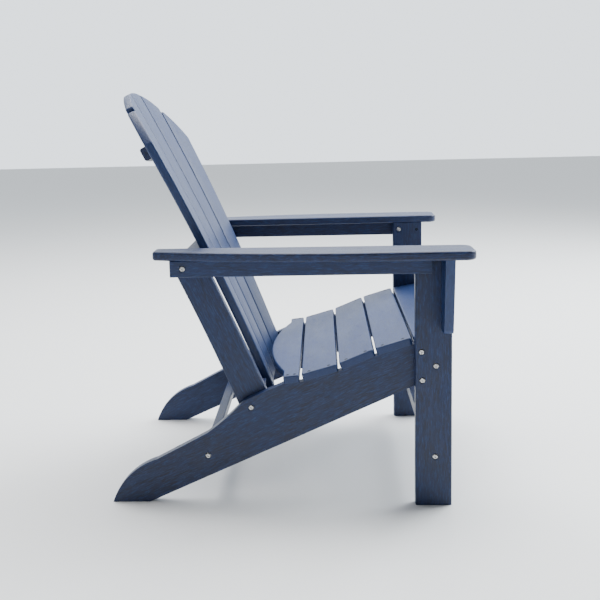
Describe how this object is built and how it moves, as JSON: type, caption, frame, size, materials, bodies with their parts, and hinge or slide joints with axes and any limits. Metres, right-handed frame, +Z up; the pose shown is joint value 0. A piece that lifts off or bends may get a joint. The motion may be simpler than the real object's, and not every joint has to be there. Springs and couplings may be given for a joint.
{
  "type": "adirondack chair",
  "caption": "Fixed adirondack chair in dark blue plastic lumber: contoured slat seat, fanned rounded back, wide bowed arms, sloping side rails that end in the rear feet.",
  "frame": {"origin": "on the floor, at the middle of the chair's footprint in width and depth", "axes": "+Z up, the chair faces -Y, +X towards the sitter's left"},
  "size_m": [0.714, 0.7724, 0.8908],
  "materials": {
    "lumber": "semi-matte navy blue poly lumber with a fine brushed grain along each board",
    "fasteners": "stainless steel button heads and nuts",
    "coated_screws": "dark coated steel screws, dull"
  },
  "bodies": {
    "root": {"arm_cross_rail": "lumber", "arm_left": "lumber", "arm_rail_front_bolts": "fasteners", "arm_rail_left": "lumber", "arm_rail_rear_bolts": "fasteners", "arm_rail_right": "lumber", "arm_right": "lumber", "arm_screws": "coated_screws", "back_screws": "coated_screws", "back_slat_1": "lumber", "back_slat_2": "lumber", "back_slat_3": "lumber", "back_slat_4": "lumber", "back_slat_5": "lumber", "corbel_left": "lumber", "corbel_right": "lumber", "corbel_screws": "coated_screws", "frame_nuts": "fasteners", "frame_screws": "coated_screws", "front_apron": "lumber", "front_leg_left": "lumber", "front_leg_right": "lumber", "front_stretcher": "lumber", "leg_bolts": "fasteners", "lower_back_rail": "lumber", "rear_stretcher": "lumber", "seat_screws": "coated_screws", "seat_slat_1": "lumber", "seat_slat_2": "lumber", "seat_slat_3": "lumber", "seat_slat_4": "lumber", "seat_slat_5": "lumber", "side_rail_left": "lumber", "side_rail_right": "lumber", "stretcher_bolts": "fasteners", "upper_batten": "lumber", "upright_bolts": "fasteners", "upright_left": "lumber", "upright_right": "lumber"}
  },
  "joints": []
}
